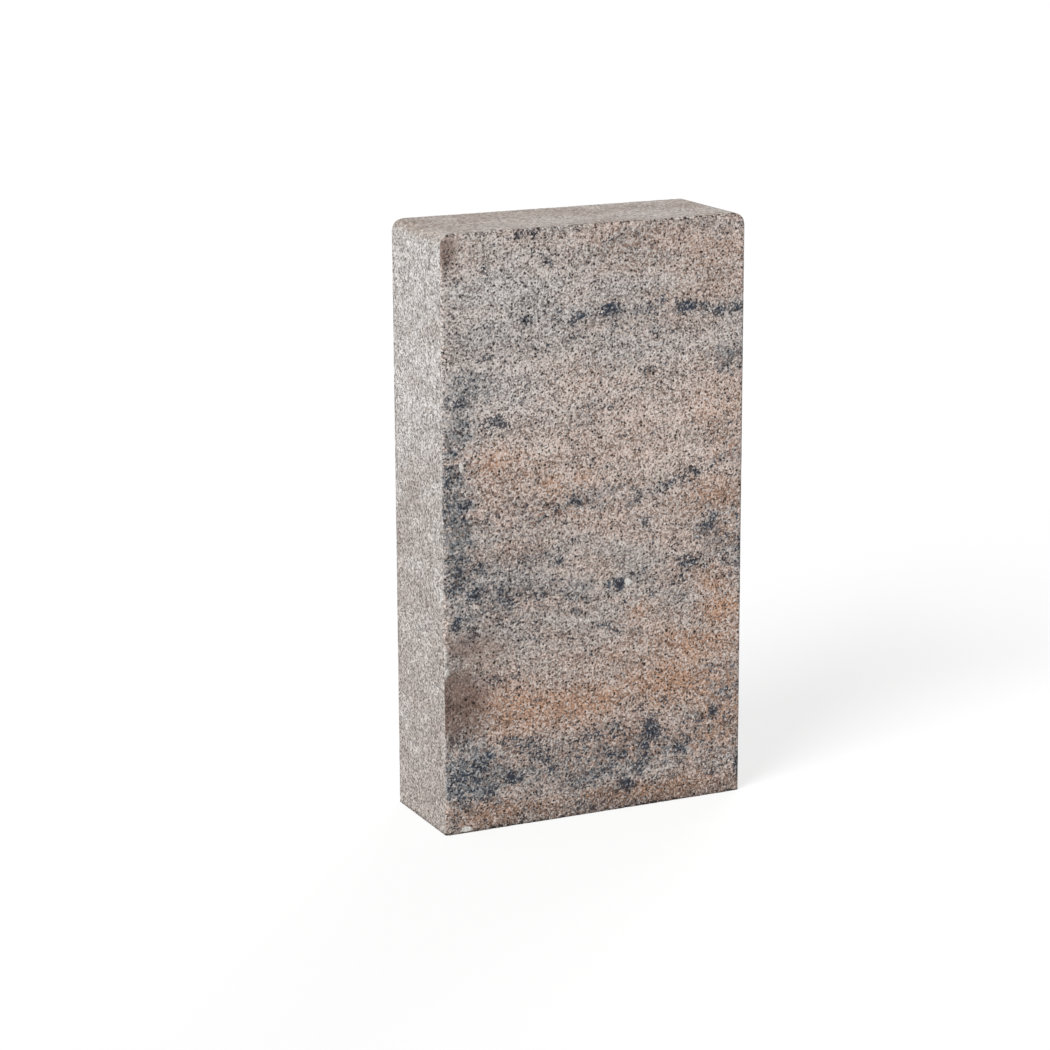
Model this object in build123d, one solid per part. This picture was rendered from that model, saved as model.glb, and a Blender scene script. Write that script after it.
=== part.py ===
from build123d import *
import os

# Concrete palisade: one pressed concrete block that stands upright in a row of its kind.
#
# The block is a single casting. Its broad faces look forwards and backwards, its narrow ends butt
# against the next block of the row, and its flat foot stands in a bed of lean concrete.
#
# Frame, in millimetres: the origin is the centre of the foot, +Z runs up the block, +X runs along
# the broad face and +Y runs through the thickness, so the front broad face looks along -Y.

# Driving dimensions
WIDTH = 220.0  # broad face, along X
THICKNESS = 80.0  # between the two broad faces, along Y
HEIGHT = 400.0  # foot to crown, along Z
CROWN_RADIUS = 8.0  # rounded top edge at each narrow end
ARRIS_RADIUS = 2.0  # eased edge round each broad face, from the foot over the crown

# Where the solid is written
PARTS_FOLDER = "parts"
NODE_NAME = "palisade_block"


def broad_face_outline():
    """Upright rectangle that stands on the foot line, with its two crown corners rounded."""
    upright = Rectangle(WIDTH, HEIGHT, align=(Align.CENTER, Align.MIN))
    crown_corners = upright.vertices().group_by(Axis.Y)[-1]
    return Plane.XZ * fillet(crown_corners, CROWN_RADIUS)


def arris_edges(block):
    """Edges round both broad faces, apart from the two at the foot, which stay sharp."""
    broad_faces = block.faces().filter_by(Plane.XZ)
    foot_edges = block.faces().sort_by(Axis.Z)[0].edges()
    return broad_faces.edges() - foot_edges


def palisade_block():
    """The outline carried through the thickness, with every arris above the foot eased."""
    block = extrude(broad_face_outline(), THICKNESS / 2, both=True)
    return fillet(arris_edges(block), ARRIS_RADIUS)


os.makedirs(PARTS_FOLDER, exist_ok=True)
export_step(palisade_block(), os.path.join(PARTS_FOLDER, NODE_NAME + ".step"))
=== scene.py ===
import random
from math import cos, radians, sin

import bmesh
import bpy
import numpy as np
from mathutils import Matrix, Vector, noise


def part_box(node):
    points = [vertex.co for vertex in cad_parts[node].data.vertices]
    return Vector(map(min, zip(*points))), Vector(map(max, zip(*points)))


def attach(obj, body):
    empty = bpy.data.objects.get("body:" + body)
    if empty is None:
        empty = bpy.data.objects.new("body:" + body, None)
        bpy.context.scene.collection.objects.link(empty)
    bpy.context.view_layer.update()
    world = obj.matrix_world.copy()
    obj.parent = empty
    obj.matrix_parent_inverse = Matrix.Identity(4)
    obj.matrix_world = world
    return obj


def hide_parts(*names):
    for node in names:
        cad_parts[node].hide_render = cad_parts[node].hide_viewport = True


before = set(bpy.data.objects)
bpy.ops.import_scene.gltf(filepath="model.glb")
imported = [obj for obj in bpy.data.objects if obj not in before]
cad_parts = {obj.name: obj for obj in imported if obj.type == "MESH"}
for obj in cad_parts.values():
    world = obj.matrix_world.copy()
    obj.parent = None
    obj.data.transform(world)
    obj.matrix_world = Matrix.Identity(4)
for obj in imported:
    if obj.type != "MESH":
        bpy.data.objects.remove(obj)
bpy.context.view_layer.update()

# The palisade block: one casting of coloured concrete, pressed in a steel mould and stood on its foot.
# Its outline is the frame's solid: a cube is cut into a fine net, finest along the arrises,
# and the net is then drawn onto the solid's rounded edges.
MM = 0.001
NET_SPACING = 1.8 * MM
ARRIS_BAND = 5.4 * MM  # strip along every edge where the net is twice as fine
SAME_WAY = 0.9  # share of its length by which an edge has to run along an axis

block_low, block_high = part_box("palisade_block")
block_size = block_high - block_low

bpy.ops.object.select_all(action="DESELECT")
bpy.ops.mesh.primitive_cube_add(size=1, location=(block_low + block_high) / 2, scale=block_size)
block = bpy.context.object
block.name = "concrete_block"
bpy.ops.object.transform_apply(location=True, rotation=True, scale=True)


def cut_rings(axis, low, high, cuts):
    """Divides every edge that runs along the axis between two places, which cuts rings round the block."""
    bpy.ops.mesh.select_all(action="DESELECT")
    shape = bmesh.from_edit_mesh(block.data)
    for edge in shape.edges:
        start, end = (corner.co for corner in edge.verts)
        along = end - start
        middle = (start + end) / 2
        edge.select_set(abs(along[axis]) > SAME_WAY * along.length and low < middle[axis] < high)
    bmesh.update_edit_mesh(block.data)
    bpy.ops.mesh.subdivide(number_cuts=cuts)


bpy.ops.object.mode_set(mode="EDIT")
bpy.ops.mesh.select_mode(type="EDGE")
for axis in range(3):
    low, high = block_low[axis], block_high[axis]
    cut_rings(axis, low, high, round(block_size[axis] / NET_SPACING) - 1)
    cut_rings(axis, low, low + ARRIS_BAND, 1)
    cut_rings(axis, high - ARRIS_BAND, high, 1)
bpy.ops.object.mode_set(mode="OBJECT")

bpy.ops.object.modifier_add(type="SHRINKWRAP")
rounding = block.modifiers[-1]
rounding.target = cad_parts["palisade_block"]
bpy.ops.object.modifier_apply(modifier=rounding.name)
bpy.ops.object.shade_smooth()

# Pigment in the two broad faces: the mix is stirred only a little before it is pressed, so the dark pigment
# stays in level streaks and clots within thin haze, and the rust-coloured one in broad soft bands.
# Each clot is (x, z, half width, half height, rise to the right in degrees, strength), in millimetres.
DARK_CLOTS = [
    # under the crown
    (-54, 397, 5, 2.5, 0, 1.0), (-45, 397, 3, 2, 0, 0.8), (-34, 377, 3, 2.5, 0, 0.6),
    (-78, 373, 4, 3, 0, 0.45), (-105, 380, 3, 2, 0, 0.4), (-103, 361, 3, 2, 0, 0.4),
    (89, 384, 2.5, 2.5, 0, 0.8),
    # the long upper streak
    (-52, 350, 5, 1.5, 0, 0.35), (-50, 340, 4, 2.5, 0, 0.8), (-27, 344, 4, 1.5, 0, 0.6),
    (-11, 340, 7, 2, 20, 1.1), (10, 343, 6, 2.5, 10, 1.7), (37, 342, 6, 2, 5, 0.5),
    (49, 347, 3, 2, 0, 1.1), (67, 341, 5, 3, 0, 1.6), (81, 339, 5, 2.5, 0, 1.4),
    (92, 337, 5, 2.5, 0, 1.1), (105, 337, 6, 2.5, 0, 1.0),
    # below it
    (-18, 327, 5, 2.5, 0, 0.6), (13, 333, 3, 2, 45, 0.7), (44, 326, 2.5, 2, 0, 0.9),
    (-79, 319, 3, 2, 0, 0.7), (-62, 319, 7, 1.5, 0, 0.55), (-85, 336, 6, 2, 0, 0.35),
    (-75, 342, 4, 2, 0, 0.4),
    # left border, upper half
    (-97, 290, 3, 2, 0, 0.8), (-71, 276, 6, 2.5, 0, 1.3), (-88, 306, 9, 6, 0, 0.15),
    (-106, 243, 3, 8, 0, 0.45), (-95, 223, 5, 3, 0, 0.8), (-57, 289, 6, 1.5, 10, 0.35),
    # middle
    (-5, 271, 3, 2, 0, 0.75), (5, 279, 7, 2, 0, 0.7), (44, 260, 1.5, 1.5, 0, 1.2),
    (41, 301, 8, 2, 15, 0.5), (98, 263, 2.5, 2, 0, 0.85), (-43, 236, 3, 2, 0, 0.7),
    (-3, 243, 3, 2, 0, 0.8), (73, 229, 3, 3.5, 0, 1.0), (61, 225, 16, 2, 19, 0.85),
    (-15, 218, 4, 3, -30, 0.9), (29, 212, 8, 2, 30, 0.5), (-30, 213, 7, 3, 0, 0.35),
    (37, 198, 4, 3, 0, 0.75), (42, 185, 3, 5, 0, 0.35), (83, 190, 7, 3, 25, 0.85),
    (89, 195, 2, 3, 0, 1.0), (106, 194, 3, 3, 0, 0.6), (108, 170, 3, 9, 0, 0.5),
    (97, 164, 4, 6, 0, 0.35),
    # left border, lower half
    (-83, 181, 4, 2.5, 0, 0.9), (-99, 180, 3, 3, 0, 0.8), (-58, 182, 18, 3, 8, 0.3),
    (-27, 176, 3, 2.5, -40, 0.85), (-101, 168, 5, 5, 0, 0.45), (-88, 163, 4, 3, 0, 1.3),
    (-68, 163, 3.5, 3, 0, 0.7), (-66, 154, 6, 5, 0, 0.5), (-40, 156, 5, 3, 0, 1.0),
    (-30, 166, 8, 2.5, 20, 0.4), (-98, 148, 3, 3, 0, 0.5), (-101, 143, 2, 2, 0, 1.6),
    (-88, 136, 3, 3, 45, 0.9), (-71, 141, 2, 1.5, 30, 0.7),
    # right of the middle
    (8, 158, 1.5, 1.5, 0, 1.4), (17, 158, 3, 2.5, 0, 1.6), (65, 168, 3, 3, 0, 1.0),
    (71, 166, 4, 2, 0, 1.4), (64, 160, 3, 3, 0, 0.6), (58, 155, 1.5, 2, 0, 0.6),
    (35, 165, 2, 2, 0, 0.6), (44, 148, 4, 1.5, 35, 0.8), (-15, 143, 3, 2, 0, 0.7),
    (-6, 150, 2, 1.5, 0, 0.9), (5, 130, 7, 2, -15, 0.8), (17, 130, 2, 1.5, 0, 0.7),
    (29, 126, 3, 2, 0, 0.5), (-40, 127, 6, 3, 0, 0.35), (-6, 111, 4, 2, 0, 0.5),
    (64, 143, 4, 3, 0, 0.35),
    # edge of the rust band
    (-72, 103, 6, 2.5, 0, 0.75), (-58, 104, 5, 1.5, 0, 0.55), (90, 89, 5, 3, 0, 0.65),
    (103, 90, 2.5, 2.5, 0, 0.65), (-110, 92, 1.6, 15, 0, 1.5), (-104, 69, 5, 3, 0, 0.45),
    (34, 68, 6, 3, 0, 0.45), (51, 70, 5, 3, -20, 0.5), (74, 76, 5, 3, 0, 0.35),
    # the broad dark band above the foot
    (-69, 58, 2.5, 2, 0, 0.85), (-61, 60, 3, 1.5, 0, 0.75), (-50, 56, 10, 4, -15, 0.65),
    (-79, 51, 4, 3, 0, 0.7), (-85, 45, 5, 3, -20, 0.65), (-100, 38, 5, 3, 0, 0.65),
    (-88, 36, 3, 3, 0, 0.75), (-62, 34, 4.5, 2.5, -20, 1.4), (-76, 25, 6, 4, -30, 0.55),
    (-92, 25, 10, 5, 0, 0.4), (-35, 44, 4, 4, -45, 0.5), (-33, 35, 4, 2, -45, 0.55),
    (-5, 55, 8, 4, 25, 0.6), (16, 59, 4, 3, 0, 0.65), (27, 56, 3, 2, 0, 0.5),
    (22, 51, 4, 3, 0, 0.45), (42, 54, 5, 6, 0, 1.4), (37, 45, 3, 4, 0, 0.7),
    (38, 39, 1.5, 4, 0, 1.0), (10, 41, 6, 2, 0, 0.55), (5, 28, 6, 3, 0, 0.65),
    (-12, 22, 6, 4, 0, 0.45), (23, 17, 4, 3, 0, 1.7), (34, 26, 4, 4, 0, 0.5),
    (81, 57, 8, 2.5, 0, 0.65), (89, 58, 2.5, 2.5, 0, 1.4), (101, 54, 5, 2, 0, 0.45),
    (62, 38, 6, 3, 0, 0.4), (86, 32, 5, 3, 0, 0.45), (108, 20, 2.5, 8, 0, 0.7),
    (90, 18, 6, 3, 0, 0.45),
    # at the foot
    (-3, 4, 8, 3, 0, 0.75), (-12, 6, 5, 4, 0, 0.6), (-52, 4, 8, 3, 0, 0.6),
    (-105, 8, 4, 6, 0, 0.5), (25, 2, 14, 2, 0, 0.5), (70, 2, 20, 1.5, 0, 0.4),
    (-75, 2, 8, 1.5, 0, 0.4),
]
DARK_HAZE = [
    # the band above the foot, and its upper edge
    (0, 36, 110, 20, 0, 0.6), (-90, 40, 28, 22, 0, 0.9), (65, 40, 40, 16, 0, 0.6),
    (-100, 62, 13, 10, 0, 0.6), (97, 72, 14, 12, 0, 0.7), (-10, 9, 30, 8, 0, 0.3),
    # the left border and the middle
    (-75, 165, 45, 32, 0, 0.48), (-103, 215, 16, 80, 0, 0.75), (-99, 271, 13, 14, 0, 0.75),
    (20, 155, 60, 20, 0, 0.25), (-14, 156, 14, 12, 0, 0.6), (-58, 212, 36, 11, 0, 0.5),
    (15, 217, 70, 12, 0, 0.38), (0, 275, 90, 12, 0, 0.1),
    # the right border
    (94, 180, 22, 24, 0, 0.45), (99, 240, 13, 18, 0, 0.5), (98, 302, 14, 14, 0, 0.65),
    # the upper streak, and the crown above it
    (10, 341, 105, 7, 0, 0.35), (-60, 327, 50, 12, 0, 0.3), (-92, 299, 20, 18, 0, 0.5),
    (15, 312, 24, 16, 0, 0.32), (30, 328, 35, 12, 0, 0.3), (25, 387, 32, 10, 0, 0.35),
]
RUST_BANDS = [
    # under the crown and down to the middle
    (85, 368, 30, 20, 0, 0.3), (28, 387, 32, 13, 0, 0.3), (0, 298, 40, 12, 0, 0.2),
    (92, 275, 24, 24, 0, 0.4), (30, 255, 80, 32, 0, 0.15), (98, 243, 14, 16, 0, 0.4),
    (-73, 249, 24, 10, 0, 0.6), (-33, 230, 10, 7, 0, 0.65), (-9, 234, 10, 7, 0, 0.55),
    (-55, 238, 34, 14, 0, 0.4), (85, 211, 26, 14, 0, 0.55), (-30, 213, 55, 12, 0, 0.35),
    # the lower right
    (98, 188, 14, 12, 0, 0.4), (88, 152, 13, 13, 0, 0.6), (92, 131, 16, 10, 0, 0.75),
    (32, 137, 10, 7, 0, 0.55), (74, 110, 36, 12, 0, 0.65), (65, 97, 60, 18, 0, 0.5),
    # the broad rust band, and what shows through the dark one below it
    (-58, 79, 30, 17, 0, 0.78), (-15, 77, 46, 14, 0, 0.75), (65, 82, 44, 16, 0, 0.78),
    (95, 63, 20, 11, 0, 0.75), (30, 45, 75, 14, 0, 0.5), (88, 44, 28, 14, 0, 0.65),
    (-75, 11, 36, 9, 0, 0.65), (40, 10, 70, 9, 0, 0.55),
]
GREY_CLOUDS = [
    (-65, 350, 60, 34, 0, 0.6), (-75, 300, 50, 28, 0, 0.6), (0, 314, 115, 24, 0, 0.36),
    (15, 358, 40, 12, 0, 0.45),
]
PALE_GRAINS = [
    # three white stones
    (-97, 248, 2, 3.2, 0, 1.0), (24, 158, 3, 2.8, 0, 1.0), (-95, 2.5, 4.5, 1.8, 0, 1.0),
    # the left arris, rubbed pale
    (-110, 112, 9, 9, 0, 0.54), (-110, 124, 7, 15, 0, 0.52),
]
BROWN_PATCH = [(-110, 91, 32, 23, 0, 1.0), (-92, 127, 36, 16, 0, 0.56), (-107, 390, 11, 15, 0, 0.7)]

# The back has its own clots and bands, drawn by chance near streaks like those of the front.
BACK_CLOTS, BACK_BANDS, BACK_CLOUDS = 120, 16, 6
BACK_REACH = 108  # how far from the middle they lie, in millimetres
STREAK_HEIGHTS = [28, 48, 110, 160, 176, 225, 268, 305, 338]
STREAK_SPREAD = 9  # how far clots stray from their streak, in millimetres
CLOT_TILT = 14  # how far they turn from level, in degrees
BACK_SEED = 11
draw = random.Random(BACK_SEED)

RAGGED_REACH, RAGGED_SPACING = 2.2, 6.0  # how far noise pulls the outline of a clot about, in millimetres
RAGGED_SEED = 1795754738  # without it the noise would be another in every run
CLOT_RAGS, CLOUD_RAGS, STONE_RAGS, PATCH_RAGS = 1.0, 2.0, 0.2, 0.6  # share of that reach
CORE_SHARE, CORE_FALL, RIM_FALL = 0.6, 1.1, 0.35

net = block.data
places = np.empty(len(net.vertices) * 3)
net.vertices.foreach_get("co", places)
places = places.reshape(-1, 3) / MM
noise.seed_set(RAGGED_SEED)
ragged = np.array([noise.noise_vector(Vector(place) / RAGGED_SPACING) for place in places]) * RAGGED_REACH


def scattered(count, widths, heights, strengths):
    """Clots like those of the front, for the back: each lies near one of the streaks."""
    return [
        (
            draw.uniform(-BACK_REACH, BACK_REACH),
            draw.gauss(draw.choice(STREAK_HEIGHTS), STREAK_SPREAD),
            draw.uniform(*widths),
            draw.uniform(*heights),
            draw.gauss(0, CLOT_TILT),
            draw.uniform(*strengths),
        )
        for _ in range(count)
    ]


def pigment_at(clots, rags):
    """How much of one pigment lies at each point of the net, from a core and a rim round each clot."""
    pulled = places + ragged * rags
    amount = np.zeros(len(places))
    for x, z, half_width, half_height, rise, strength in clots:
        turn = radians(rise)
        across, above = pulled[:, 0] - x, pulled[:, 2] - z
        along = (across * cos(turn) + above * sin(turn)) / half_width
        over = (above * cos(turn) - across * sin(turn)) / half_height
        distance = along ** 2 + over ** 2
        core = CORE_SHARE * np.exp(-CORE_FALL * distance)
        rim = (1 - CORE_SHARE) * np.exp(-RIM_FALL * distance)
        amount = np.maximum(amount, strength * (core + rim))
    return amount


def store(name, front, back):
    """Keeps a number for each point of the net, for the relief and the concrete to read."""
    amount = np.where(places[:, 1] < 0, front, back)
    net.attributes.new(name, "FLOAT", "POINT").data.foreach_set("value", amount.astype(np.float32))


back_clots = scattered(BACK_CLOTS, widths=(2, 8), heights=(1.5, 4), strengths=(0.35, 0.9))
back_haze = scattered(BACK_BANDS, widths=(30, 90), heights=(8, 22), strengths=(0.2, 0.5))
back_rust = scattered(BACK_BANDS, widths=(20, 70), heights=(7, 18), strengths=(0.25, 0.65))
back_clouds = scattered(BACK_CLOUDS, widths=(30, 70), heights=(12, 30), strengths=(0.2, 0.5))
store("dark_clots", pigment_at(DARK_CLOTS, CLOT_RAGS), pigment_at(back_clots, CLOT_RAGS))
store("dark_haze", pigment_at(DARK_HAZE, CLOUD_RAGS), pigment_at(back_haze, CLOUD_RAGS))
store("rust", pigment_at(RUST_BANDS, CLOUD_RAGS), pigment_at(back_rust, CLOUD_RAGS))
store("grey_clouds", pigment_at(GREY_CLOUDS, CLOUD_RAGS), pigment_at(back_clouds, CLOUD_RAGS))
store("pale_grain", pigment_at(PALE_GRAINS, STONE_RAGS), 0.0)
store("brown_patch", pigment_at(BROWN_PATCH, PATCH_RAGS), 0.0)

# Relief of the cast skin: air leaves open pores, the faces wave a little, and the arrises crumble where the
# block leaves the mould. The pores of the facing and the crumbled places also get painted shade in the
# colour.
UPRIGHT_EXTRA = 2.2  # upright edges crumble less, so they count as this much farther away, in millimetres
CRUMB_REACH, CRUMB_FULL = 3.2, 0.8  # crumbling begins and is full this near to an edge, in millimetres
CRUMB_GROUPS, CRUMB_SIZE = 18 * MM, 2.4 * MM
PORE_SPACING, PORE_LARGEST = 5.5 * MM, 1.4 * MM
PULL_SPACING, PULL_REACH = 2.5 * MM, 2 * MM  # noise that draws the pores out of round
GRIT_SPACING, END_GRIT, FACE_GRIT = 4 * MM, 0.25 * MM, 0.6 * MM
WAVE_SPACING, EDGE_WAVE, FACE_WAVE = 60 * MM, 0.15 * MM, 0.6 * MM
END_PIT, FACE_PIT = 0.3 * MM, 1.0 * MM
NOISE_TOP = 0.7  # taken off the noise, so that the relief goes inwards

room = np.stack([
    block_high.x / MM - abs(places[:, 0]) + UPRIGHT_EXTRA,
    block_high.y / MM - abs(places[:, 1]),
    np.minimum(places[:, 2], block_high.z / MM - places[:, 2]),
])
edge_distance = np.sort(room, axis=0)[1]  # the second nearest face is the one across the nearest edge
store("edge_room", edge_distance, edge_distance)


def put(tree, kind, inputs=None, **settings):
    """Adds a node with its settings, and fills its inputs with values or with links from other nodes."""
    made = tree.nodes.new(kind)
    for name, value in settings.items():
        setattr(made, name, value)
    for name, value in (inputs or {}).items():
        if isinstance(value, bpy.types.NodeSocket):
            tree.links.new(value, made.inputs[name])
        else:
            made.inputs[name].default_value = value
    return made


def maths(tree, operation, first, second=0.0, third=0.0):
    """One sum of two or three numbers."""
    return put(tree, "ShaderNodeMath", {0: first, 1: second, 2: third}, operation=operation).outputs[0]


def eased(tree, value, start, end, low=0.0, high=1.0):
    """Goes softly from low to high while the value goes from start to end."""
    inputs = {"Value": value, "From Min": start, "From Max": end, "To Min": low, "To Max": high}
    return put(tree, "ShaderNodeMapRange", inputs, interpolation_type="SMOOTHSTEP").outputs[0]


def mottle(tree, place, spacing, detail):
    """Cloudy noise about 0.5, with clouds about as far apart as the spacing."""
    inputs = {"Vector": place, "Scale": 1 / spacing, "Detail": detail}
    return put(tree, "ShaderNodeTexNoise", inputs).outputs[0]


def pores(tree, place, spacing, largest):
    """0 on the skin and 1 at the bottom of a pore. Each cell of a loose net holds a pore of its own size."""
    cells_per_metre = maths(tree, "DIVIDE", 1.0, spacing)
    cells = put(tree, "ShaderNodeTexVoronoi", {"Vector": place, "Scale": cells_per_metre})
    pick = put(tree, "ShaderNodeSeparateXYZ", {"Vector": cells.outputs["Color"]})
    share = eased(tree, pick.outputs["X"], 0.2, 1.0, 0.05, 1.0)
    reach = maths(tree, "MULTIPLY", share, maths(tree, "DIVIDE", largest, spacing))
    return eased(tree, maths(tree, "DIVIDE", cells.outputs["Distance"], reach), 1.0, 0.45)


def hollows(tree, place, edge_room, spacing, largest):
    """1 in the ragged pores, and where sand has fallen out along an arris."""
    pull = put(tree, "ShaderNodeTexNoise", {"Vector": place, "Scale": 1 / PULL_SPACING, "Detail": 2.0})
    inputs = {0: pull.outputs["Color"], 1: (PULL_REACH, PULL_REACH, PULL_REACH), 2: place}
    pulled = put(tree, "ShaderNodeVectorMath", inputs, operation="MULTIPLY_ADD").outputs[0]
    crumbs = mottle(tree, place, CRUMB_SIZE, 3.0)
    groups = maths(tree, "MULTIPLY_ADD", mottle(tree, place, CRUMB_GROUPS, 2.0), 0.5, crumbs)
    loose = eased(tree, groups, 0.76, 0.88)
    crumbled = maths(tree, "MULTIPLY", loose, eased(tree, edge_room, CRUMB_REACH, CRUMB_FULL))
    return maths(tree, "MAXIMUM", pores(tree, pulled, spacing, largest), crumbled)


relief = bpy.data.node_groups.new("cast_relief", "GeometryNodeTree")
relief.interface.new_socket("Geometry", in_out="INPUT", socket_type="NodeSocketGeometry")
relief.interface.new_socket("Geometry", in_out="OUTPUT", socket_type="NodeSocketGeometry")
relief_in = put(relief, "NodeGroupInput")
relief_out = put(relief, "NodeGroupOutput")
place = put(relief, "GeometryNodeInputPosition").outputs[0]
normal = put(relief, "GeometryNodeInputNormal").outputs[0]
facing = put(relief, "ShaderNodeSeparateXYZ", {"Vector": normal})
broad = eased(relief, maths(relief, "ABSOLUTE", facing.outputs["Y"]), 0.3, 0.9)
above_foot = eased(relief, facing.outputs["Z"], -0.9, -0.3)
kept_room = put(relief, "GeometryNodeInputNamedAttribute", {"Name": "edge_room"}, data_type="FLOAT")
edge_room = kept_room.outputs[0]
grit = maths(relief, "SUBTRACT", mottle(relief, place, GRIT_SPACING, 2.0), NOISE_TOP)
grit = maths(relief, "MULTIPLY", grit, eased(relief, broad, 0, 1, END_GRIT, FACE_GRIT))
waves = maths(relief, "SUBTRACT", mottle(relief, place, WAVE_SPACING, 1.0), NOISE_TOP)
waves = maths(relief, "MULTIPLY", waves, eased(relief, edge_room, 2, 20, EDGE_WAVE, FACE_WAVE))
pits = hollows(relief, place, edge_room, PORE_SPACING, PORE_LARGEST)
pits = maths(relief, "MULTIPLY", pits, eased(relief, broad, 0, 1, END_PIT, FACE_PIT))
height = maths(relief, "ADD", grit, waves)
height = maths(relief, "SUBTRACT", height, pits)
height = maths(relief, "MINIMUM", height, 0.0)
height = maths(relief, "MULTIPLY", height, above_foot)
offset = put(relief, "ShaderNodeVectorMath", {0: normal, "Scale": height}, operation="SCALE").outputs[0]
moved = put(relief, "GeometryNodeSetPosition", {"Geometry": relief_in.outputs[0], "Offset": offset})
relief.links.new(moved.outputs[0], relief_out.inputs[0])

# The broad faces show the coloured facing, the ends and the crown a paler skin, and the foot the raw mix.
# The three concretes are put on the block in this order further down.
FACING, END_SKIN, RAW_MIX = 0, 1, 2
BROAD_NORMAL, FOOT_NORMAL = 0.4, -0.7
for face in net.polygons:
    if abs(face.normal.y) > BROAD_NORMAL:
        face.material_index = FACING
    elif face.normal.z < FOOT_NORMAL:
        face.material_index = RAW_MIX
    else:
        face.material_index = END_SKIN

bpy.context.view_layer.objects.active = block
bpy.ops.object.modifier_add(type="NODES")
casting = block.modifiers[-1]
casting.node_group = relief
bpy.ops.object.modifier_apply(modifier=casting.name)


# Sand in the concrete: grains of grey, beige, rusty and white stone in a paste that fills most of the gaps
# between them and leaves the rest open. All three skins share it, each with grains of its own size.
def paint(red, green, blue):
    """A colour as a screen shows it, 0 to 255, as the light that it sends back."""
    return tuple(((v / 255 + 0.055) / 1.055) ** 2.4 for v in (red, green, blue)) + (1.0,)


def mixed(tree, share, first, second):
    """Two colours mixed by a share from 0 to 1."""
    return put(tree, "ShaderNodeMix", {0: share, 6: first, 7: second}, data_type="RGBA").outputs[2]


def new_group(name, inputs, outputs):
    """A shader node group with named sockets: its tree, what comes in and what has to go out."""
    group = bpy.data.node_groups.new(name, "ShaderNodeTree")
    for socket, kind in inputs.items():
        group.interface.new_socket(socket, in_out="INPUT", socket_type="NodeSocket" + kind)
    for socket, kind in outputs.items():
        group.interface.new_socket(socket, in_out="OUTPUT", socket_type="NodeSocket" + kind)
    return group, put(group, "NodeGroupInput").outputs, put(group, "NodeGroupOutput").inputs


SAND_COLOURS = [
    (0.0, (112, 103, 99)), (0.2, (152, 143, 138)), (0.55, (184, 175, 170)),
    (0.75, (196, 176, 163)), (0.85, (204, 197, 192)), (1.0, (232, 228, 224)),
]
sand, came, goes = new_group(
    "sand_grains",
    {"Vector": "Vector", "Grain Size": "Float", "Openness": "Float"},
    {"Colour": "Color", "Tone": "Float", "Chance": "Float", "Height": "Float", "Gap": "Float"},
)
grains_per_metre = maths(sand, "DIVIDE", 1.0, came["Grain Size"])
cells = put(sand, "ShaderNodeTexVoronoi", {"Vector": came["Vector"], "Scale": grains_per_metre})
pick = put(sand, "ShaderNodeSeparateXYZ", {"Vector": cells.outputs["Color"]})
stones = put(sand, "ShaderNodeValToRGB", {"Fac": pick.outputs["Y"]})
for place_on_ramp, colour in SAND_COLOURS[1:-1]:
    stones.color_ramp.elements.new(place_on_ramp).color = paint(*colour)
stones.color_ramp.elements[0].color = paint(*SAND_COLOURS[0][1])
stones.color_ramp.elements[-1].color = paint(*SAND_COLOURS[-1][1])
wider = maths(sand, "MULTIPLY", grains_per_metre, 1.1)
inputs = {"Vector": came["Vector"], "Scale": wider, "Detail": 3.0, "Roughness": 0.6}
paste = put(sand, "ShaderNodeTexNoise", inputs)
filled = maths(sand, "SUBTRACT", paste.outputs[0], came["Openness"])
dome = eased(sand, cells.outputs["Distance"], 0.75, 0.2)
dome = maths(sand, "MULTIPLY", dome, eased(sand, pick.outputs["Z"], 0, 1, 0.1, 0.4))
sand.links.new(stones.outputs[0], goes["Colour"])
sand.links.new(pick.outputs["X"], goes["Tone"])
sand.links.new(pick.outputs["Z"], goes["Chance"])
sand.links.new(maths(sand, "ADD", eased(sand, filled, 0.36, 0.52), dome), goes["Height"])
sand.links.new(eased(sand, filled, 0.45, 0.36), goes["Gap"])

# Pores and crumbled arrises as the skins show them, and pinholes between the pores. The facing gives the
# pores the spacing and size that they have in the relief, so each lies in its own pit there.
PINHOLE_SPACING, PINHOLE_LARGEST = 2.4 * MM, 1.05 * MM
open_skin, came, goes = new_group(
    "open_skin",
    {
        "Vector": "Vector",
        "Edge Room": "Float",
        "Pore Spacing": "Float",
        "Largest Pore": "Float",
        "Pinholes": "Float",
    },
    {"Hollow": "Float"},
)
hollow = hollows(open_skin, came["Vector"], came["Edge Room"], came["Pore Spacing"], came["Largest Pore"])
pinholes = pores(open_skin, came["Vector"], PINHOLE_SPACING, PINHOLE_LARGEST)
pinholes = maths(open_skin, "MULTIPLY", pinholes, came["Pinholes"])
open_skin.links.new(maths(open_skin, "MAXIMUM", hollow, pinholes), goes["Hollow"])

# Light and dark grains, and the shade in gaps and hollows, laid over the colour of any of the skins.
# A skin says how much its grains differ, and how dark the gaps between them are.
PALE_STONE, DARK_STONE = paint(246, 242, 238), paint(92, 80, 74)
GAP_SHADE, HOLLOW_SHADE = paint(56, 46, 42), paint(33, 26, 24)
shaded_grain, came, goes = new_group(
    "shaded_grain",
    {
        "Paste": "Color",
        "Tone": "Float",
        "Gap": "Float",
        "Hollow": "Float",
        "Contrast": "Float",
        "Depth": "Float",
    },
    {"Colour": "Color"},
)
pale = eased(shaded_grain, came["Tone"], 0.6, 1.0, 0.0, 0.7)
pale = maths(shaded_grain, "MULTIPLY", pale, came["Contrast"])
dark = eased(shaded_grain, came["Tone"], 0.45, 0.0)
dark = maths(shaded_grain, "MULTIPLY", dark, came["Contrast"])
gap = maths(shaded_grain, "MULTIPLY", came["Gap"], came["Depth"])
hollow = maths(shaded_grain, "MULTIPLY", came["Hollow"], 0.92)
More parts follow.
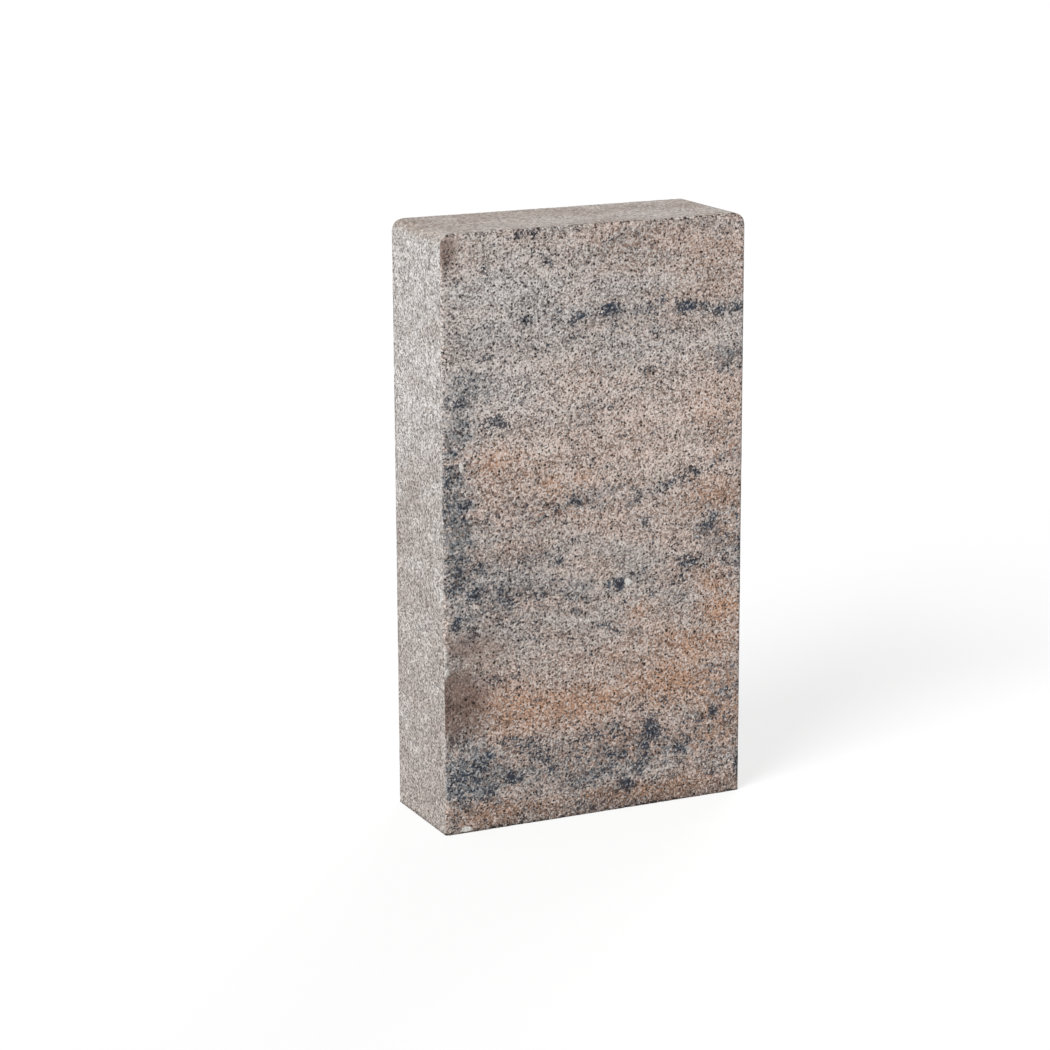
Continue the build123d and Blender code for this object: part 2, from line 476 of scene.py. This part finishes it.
colour = mixed(shaded_grain, pale, came["Paste"], PALE_STONE)
colour = mixed(shaded_grain, dark, colour, DARK_STONE)
colour = mixed(shaded_grain, gap, colour, GAP_SHADE)
colour = mixed(shaded_grain, hollow, colour, HOLLOW_SHADE)
shaded_grain.links.new(colour, goes["Colour"])


def new_skin(name):
    """An empty concrete on the block: its node tree and the place on the block."""
    material = bpy.data.materials.new(name)
    material.use_nodes = True
    material.node_tree.nodes["Principled BSDF"].inputs["Specular IOR Level"].default_value = 0.25
    net.materials.append(material)
    return material.node_tree, put(material.node_tree, "ShaderNodeTexCoord").outputs["Object"]


def placed(tree, group, inputs):
    """Puts a node group into a concrete, with the concrete's own values."""
    return put(tree, "ShaderNodeGroup", inputs, node_tree=group).outputs


def stored(tree, name):
    """The number that the net keeps for each point."""
    return put(tree, "ShaderNodeAttribute", attribute_name=name).outputs["Fac"]


def flattened(tree, place, times):
    """The place on the block with its height counted several times over, so that clouds on it lie level."""
    return put(tree, "ShaderNodeMapping", {"Vector": place, "Scale": (1, 1, times)}).outputs[0]


def finish_skin(tree, grains, hollow, colour, relief_height):
    """Gives the shader its colour, and the bump and roughness of the grains and hollows."""
    shader = tree.nodes["Principled BSDF"]
    height = maths(tree, "SUBTRACT", grains["Height"], hollow)
    bump = put(tree, "ShaderNodeBump", {"Height": height, "Distance": relief_height, "Strength": 1.0})
    tree.links.new(colour, shader.inputs["Base Color"])
    tree.links.new(bump.outputs[0], shader.inputs["Normal"])
    tree.links.new(eased(tree, grains["Tone"], 0, 1, 0.96, 0.84), shader.inputs["Roughness"])


# Facing of the two broad faces: grey and pinkish paste in level clouds, with the pigments and pores in it.
# The pigments colour whole grains, so a clot is a crowd of dark grains and thins out among the pale ones.
GREY_PASTE, PINK_PASTE = paint(217, 206, 200), paint(229, 204, 191)
PALE_PASTE, CLOUD_GREY = paint(238, 219, 209), paint(226, 223, 222)
RUST_PASTE, RUST_GRAIN = paint(202, 155, 126), paint(208, 146, 96)
HAZE_BLUE, CLOT_BLUE, DARK_GRAIN = paint(98, 113, 122), paint(38, 54, 82), paint(34, 50, 70)
PATCH_BROWN, FOOT_BROWN = paint(120, 97, 87), paint(124, 96, 80)
WHITE_STONE = paint(232, 228, 222)
PALE_HEIGHT = 262 * MM  # middle of the paler stretch of the face
PALE_INNER, PALE_OUTER = 35 * MM, 70 * MM  # where it is palest, and where it ends, above and below that
FOOT_STRIP = 26 * MM  # browner and more open strip above the foot
PATCH_EDGE, PATCH_SOFTNESS = 0.45, 0.28

tree, place = new_skin("faced_concrete")
level = flattened(tree, place, 2.6)
above_floor = put(tree, "ShaderNodeSeparateXYZ", {"Vector": place}).outputs["Z"]
openness = maths(tree, "SUBTRACT", mottle(tree, level, 36 * MM, 2.0), 0.5)
foot_openness = eased(tree, above_floor, FOOT_STRIP, 1 * MM, 0.0, 0.05)
openness = maths(tree, "MULTIPLY_ADD", openness, 0.2, foot_openness)
grains = placed(tree, sand, {"Vector": place, "Grain Size": 1.2 * MM, "Openness": openness})
clouds = eased(tree, mottle(tree, level, 42 * MM, 4.0), 0.38, 0.62)
colour = mixed(tree, clouds, GREY_PASTE, PINK_PASTE)
colour = mixed(tree, 0.35, colour, grains["Colour"])
from_pale = maths(tree, "ABSOLUTE", maths(tree, "SUBTRACT", above_floor, PALE_HEIGHT))
colour = mixed(tree, eased(tree, from_pale, PALE_OUTER, PALE_INNER, 0.0, 0.5), colour, PALE_PASTE)
colour = mixed(tree, stored(tree, "grey_clouds"), colour, CLOUD_GREY)

rust = stored(tree, "rust")
rusty_grain = eased(tree, maths(tree, "SUBTRACT", rust, grains["Tone"]), -0.2, 0.2, 0.0, 0.45)
colour = mixed(tree, maths(tree, "MULTIPLY", rust, 0.66), colour, RUST_PASTE)
colour = mixed(tree, rusty_grain, colour, RUST_GRAIN)

clots = stored(tree, "dark_clots")
streaks = maths(tree, "SUBTRACT", mottle(tree, level, 16 * MM, 3.0), 0.5)
spots = maths(tree, "SUBTRACT", mottle(tree, place, 5 * MM, 3.0), 0.5)
spotty = maths(tree, "MULTIPLY_ADD", spots, 3.2, 0.95)
haze = maths(tree, "MULTIPLY", stored(tree, "dark_haze"), spotty)
haze = maths(tree, "MULTIPLY_ADD", clots, 0.4, haze)
haze = maths(tree, "MULTIPLY_ADD", streaks, 0.7, haze)
haze = eased(tree, haze, 0.05, 0.95)
colour = mixed(tree, maths(tree, "MULTIPLY", haze, 0.8), colour, HAZE_BLUE)
colour = mixed(tree, eased(tree, clots, 0.6, 1.5, 0.0, 0.85), colour, CLOT_BLUE)
flecks = maths(tree, "SUBTRACT", mottle(tree, level, 6 * MM, 5.0), 0.5)
crowd = maths(tree, "MULTIPLY_ADD", haze, 0.31, clots)
crowd = maths(tree, "MULTIPLY_ADD", flecks, 1.6, crowd)
dark_grain = eased(tree, maths(tree, "SUBTRACT", crowd, grains["Chance"]), -0.06, 0.16, 0.0, 0.88)
colour = mixed(tree, dark_grain, colour, DARK_GRAIN)

patch = stored(tree, "brown_patch")
patch = eased(tree, patch, PATCH_EDGE - PATCH_SOFTNESS, PATCH_EDGE + PATCH_SOFTNESS)
colour = mixed(tree, maths(tree, "MULTIPLY", patch, 0.85), colour, PATCH_BROWN)
colour = mixed(tree, eased(tree, above_floor, FOOT_STRIP, 1 * MM, 0.0, 0.24), colour, FOOT_BROWN)
inputs = {"Vector": place, "Edge Room": stored(tree, "edge_room"), "Pinholes": 1.0}
inputs |= {"Pore Spacing": PORE_SPACING, "Largest Pore": PORE_LARGEST}
hollow = placed(tree, open_skin, inputs)["Hollow"]
# The grains differ less where the brown patch and the dark haze lie.
patch_and_haze = maths(tree, "MAXIMUM", patch, maths(tree, "MULTIPLY", haze, 0.1))
contrast = eased(tree, patch_and_haze, 0.0, 1.0, 0.6, 0.25)
inputs = {"Paste": colour, "Tone": grains["Tone"], "Gap": grains["Gap"], "Hollow": hollow}
inputs |= {"Contrast": contrast, "Depth": 0.7}
colour = placed(tree, shaded_grain, inputs)["Colour"]
colour = mixed(tree, eased(tree, stored(tree, "pale_grain"), 0.4, 0.6), colour, WHITE_STONE)
finish_skin(tree, grains, hollow, colour, 0.45 * MM)

# Skin of the ends and the crown: the plain mix against the smooth mould, paler and closer.
# It is a little darker and browner towards the foot.
UPPER_SKIN, LOWER_SKIN = paint(234, 232, 230), paint(190, 179, 173)
# The two crown colours are painted shade: the top and its rounding are painted darker and browner than the
# ends.
CROWN_SHADE_BROWN, CROWN_SHADE_GREY = paint(176, 160, 148), paint(208, 198, 191)
BLOTCH_GREY = paint(146, 136, 129)
CROWN_START, CROWN_FULL = 391 * MM, 398 * MM

tree, place = new_skin("end_concrete")
level = flattened(tree, place, 2.0)
above_floor = put(tree, "ShaderNodeSeparateXYZ", {"Vector": place}).outputs["Z"]
grains = placed(tree, sand, {"Vector": place, "Grain Size": 1.45 * MM, "Openness": 0.01})
clouds = maths(tree, "SUBTRACT", mottle(tree, level, 45 * MM, 4.0), 0.5)
towards_foot = maths(tree, "MULTIPLY_ADD", clouds, 2.4, eased(tree, above_floor, block_high.z, 0.0))
crown = eased(tree, above_floor, CROWN_START, CROWN_FULL)
colour = mixed(tree, eased(tree, towards_foot, -0.1, 1.1), UPPER_SKIN, LOWER_SKIN)
# Painted shade over the crown, in brown and grey clouds.
crown_shade_colour = mixed(tree, eased(tree, clouds, -0.12, 0.12), CROWN_SHADE_BROWN, CROWN_SHADE_GREY)
colour = mixed(tree, crown, colour, crown_shade_colour)
blotches = eased(tree, mottle(tree, place, 4.5 * MM, 3.0), 0.6, 0.4, 0.0, 0.5)
colour = mixed(tree, blotches, colour, BLOTCH_GREY)
colour = mixed(tree, 0.3, colour, grains["Colour"])
inputs = {"Vector": place, "Edge Room": stored(tree, "edge_room"), "Pinholes": 0.4}
inputs |= {"Pore Spacing": 5 * MM, "Largest Pore": 0.6 * MM}
hollow = placed(tree, open_skin, inputs)["Hollow"]
contrast = eased(tree, crown, 0, 1, 0.36, 0.4)
depth = eased(tree, crown, 0, 1, 0.8, 0.5)
inputs = {"Paste": colour, "Tone": grains["Tone"], "Gap": grains["Gap"], "Hollow": hollow}
inputs |= {"Contrast": contrast, "Depth": depth}
colour = placed(tree, shaded_grain, inputs)["Colour"]
finish_skin(tree, grains, hollow, colour, 0.45 * MM)

# Raw mix of the foot: the open side of the mould, struck off level, so it is plain grey with coarser sand.
# It has no pigment and no relief, because the block stands flat on it.
RAW_PALE, RAW_DARK = paint(160, 152, 147), paint(146, 138, 133)

tree, place = new_skin("foot_concrete")
grains = placed(tree, sand, {"Vector": place, "Grain Size": 2.2 * MM, "Openness": 0.02})
clouds = eased(tree, mottle(tree, place, 40 * MM, 4.0), 0.38, 0.62)
colour = mixed(tree, clouds, RAW_PALE, RAW_DARK)
colour = mixed(tree, 0.45, colour, grains["Colour"])
inputs = {"Vector": place, "Edge Room": stored(tree, "edge_room"), "Pinholes": 0.8}
inputs |= {"Pore Spacing": 7 * MM, "Largest Pore": 1.4 * MM}
hollow = placed(tree, open_skin, inputs)["Hollow"]
inputs = {"Paste": colour, "Tone": grains["Tone"], "Gap": grains["Gap"], "Hollow": hollow}
inputs |= {"Contrast": 0.35, "Depth": 0.6}
colour = placed(tree, shaded_grain, inputs)["Colour"]
finish_skin(tree, grains, hollow, colour, 0.4 * MM)

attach(block, "root")
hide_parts("palisade_block")

# The stage: a white floor that takes a light shadow, a broad lamp from the left, a weak one behind and an
# even sky. To the camera the floor and the sky are white, and to the block the floor is grey, so that it
# sends little light back up.
FLOOR_SIDE = 40.0
FLOOR_GREY, FLOOR_WHITE = (0.45, 0.45, 0.45, 1), (0.98, 0.98, 0.98, 1)
FLOOR_GLOW = 0.7  # share of the floor's white that shadow doesn't darken
LAMPS = [
    ("window_light", Vector((-0.75, -0.42, 0.52)), 3.5),
    ("light_behind", Vector((0.65, 0.7, 0.3)), 1.3),
]
LAMP_ANGLE = radians(30)
LAMP_DISTANCE = 3
SKY_LIGHT = 0.38

bpy.ops.object.select_all(action="DESELECT")
bpy.ops.mesh.primitive_plane_add(size=FLOOR_SIDE, location=(0, 0, 0))
floor = bpy.context.object
floor.name = "floor"


def seen_directly(tree):
    """1 for what the camera sees, also by way of gloss and glass, and 0 for light on its way to the block."""
    path = put(tree, "ShaderNodeLightPath").outputs
    seen = maths(tree, "MAXIMUM", path["Is Camera Ray"], path["Is Glossy Ray"])
    return maths(tree, "MAXIMUM", seen, path["Is Transmission Ray"])


white_floor = bpy.data.materials.new("white_floor")
white_floor.use_nodes = True
tree = white_floor.node_tree
tree.nodes.remove(tree.nodes["Principled BSDF"])
seen = seen_directly(tree)
matt = put(tree, "ShaderNodeBsdfDiffuse", {"Color": mixed(tree, seen, FLOOR_GREY, FLOOR_WHITE)})
glow = put(tree, "ShaderNodeEmission", {"Color": (1, 1, 1, 1), "Strength": 1.0})
glow_share = maths(tree, "MULTIPLY", seen, FLOOR_GLOW)
surface = put(tree, "ShaderNodeMixShader", {0: glow_share, 1: matt.outputs[0], 2: glow.outputs[0]})
tree.links.new(surface.outputs[0], tree.nodes["Material Output"].inputs["Surface"])
floor.data.materials.append(white_floor)

for name, lamp_from, strength in LAMPS:
    bpy.ops.object.light_add(type="SUN", location=lamp_from * LAMP_DISTANCE)
    lamp = bpy.context.object
    lamp.name = name
    lamp.rotation_euler = lamp_from.to_track_quat("Z", "Y").to_euler()
    lamp.data.energy = strength
    lamp.data.angle = LAMP_ANGLE

world = bpy.data.worlds.new("studio")
bpy.context.scene.world = world
world.use_nodes = True
tree = world.node_tree
sky = tree.nodes["Background"]
sky.inputs["Color"].default_value = (1, 1, 1, 1)
tree.links.new(eased(tree, seen_directly(tree), 0, 1, SKY_LIGHT, 1.0), sky.inputs["Strength"])

# The camera: a long lens a little above the block and to the left of its front.
# It is aimed a little left of the block's middle and below it, which sets the block in the frame.
AZIMUTH, ELEVATION, ROLL = radians(-25.06), radians(13.82), radians(-0.26)
DISTANCE = 2.109
LENS = 107.8
AIM_RIGHT, AIM_UP = -29.8 * MM, -8.7 * MM

right = Vector((cos(AZIMUTH), sin(AZIMUTH), 0))
back = Vector((sin(AZIMUTH) * cos(ELEVATION), -cos(AZIMUTH) * cos(ELEVATION), sin(ELEVATION)))
up = back.cross(right)
aim = (block_low + block_high) / 2 + right * AIM_RIGHT + up * AIM_UP
turned_right = right * cos(ROLL) + up * sin(ROLL)
turned_up = back.cross(turned_right)
bpy.ops.object.camera_add(location=aim + back * DISTANCE)
camera = bpy.context.object
camera.rotation_euler = Matrix((turned_right, turned_up, back)).transposed().to_euler()
camera.data.lens = LENS
camera.data.clip_end = 100
bpy.context.scene.camera = camera

bpy.context.scene.view_settings.view_transform = "Standard"
